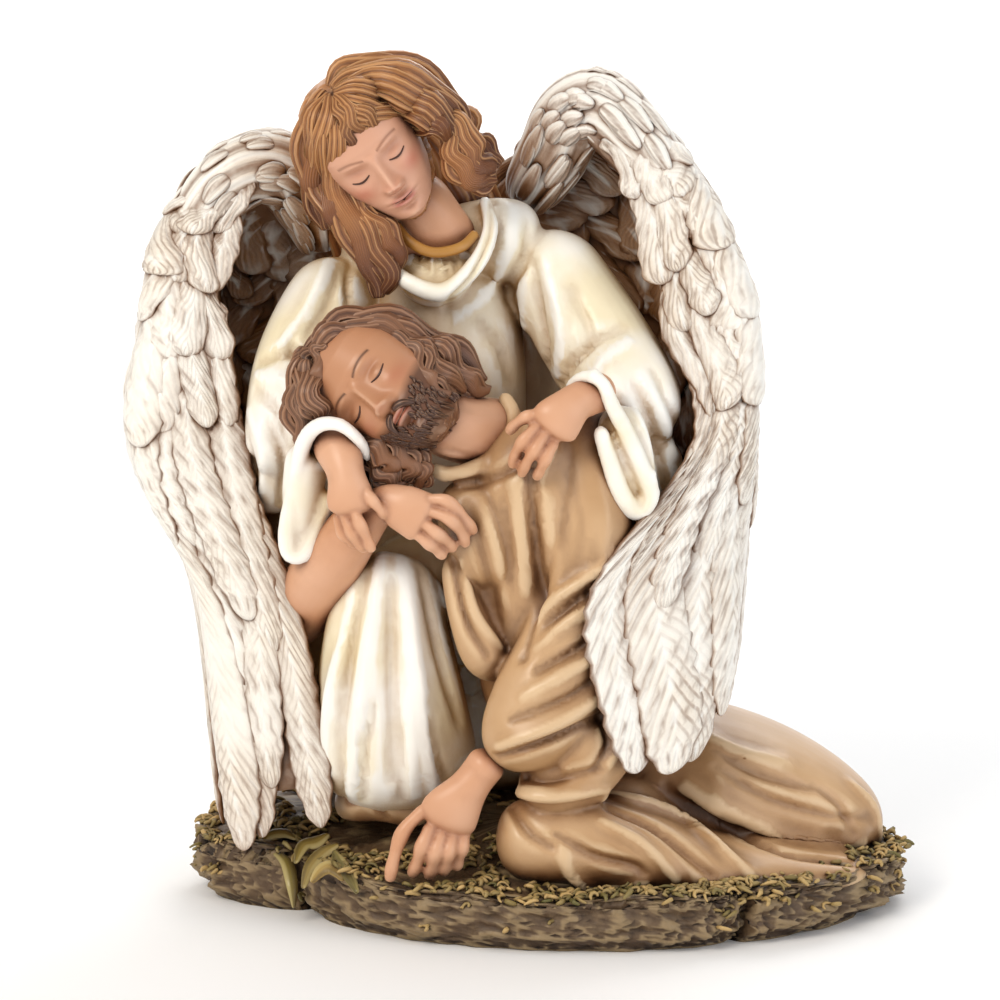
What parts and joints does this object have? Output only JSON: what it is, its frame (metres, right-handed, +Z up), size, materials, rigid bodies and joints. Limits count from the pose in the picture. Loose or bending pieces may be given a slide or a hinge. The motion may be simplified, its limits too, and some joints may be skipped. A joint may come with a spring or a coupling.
{
  "type": "painted resin angel figurine",
  "caption": "Painted resin figurine of a seated winged angel in a cream gown holding a sleeping bearded man in a tan robe, on a mossy rock.",
  "frame": {"origin": "middle of the wings' span and of the depth, on the flat underside", "axes": "+Z up, +X to the viewer's right, -Y towards the viewer, who faces the angel"},
  "size_m": [0.189, 0.111, 0.2037],
  "materials": {
    "painted_resin": "hand-painted cast resin with a brown antiquing wash, satin"
  },
  "bodies": {
    "root": {"angel_with_sleeping_man": "painted_resin"}
  },
  "joints": []
}
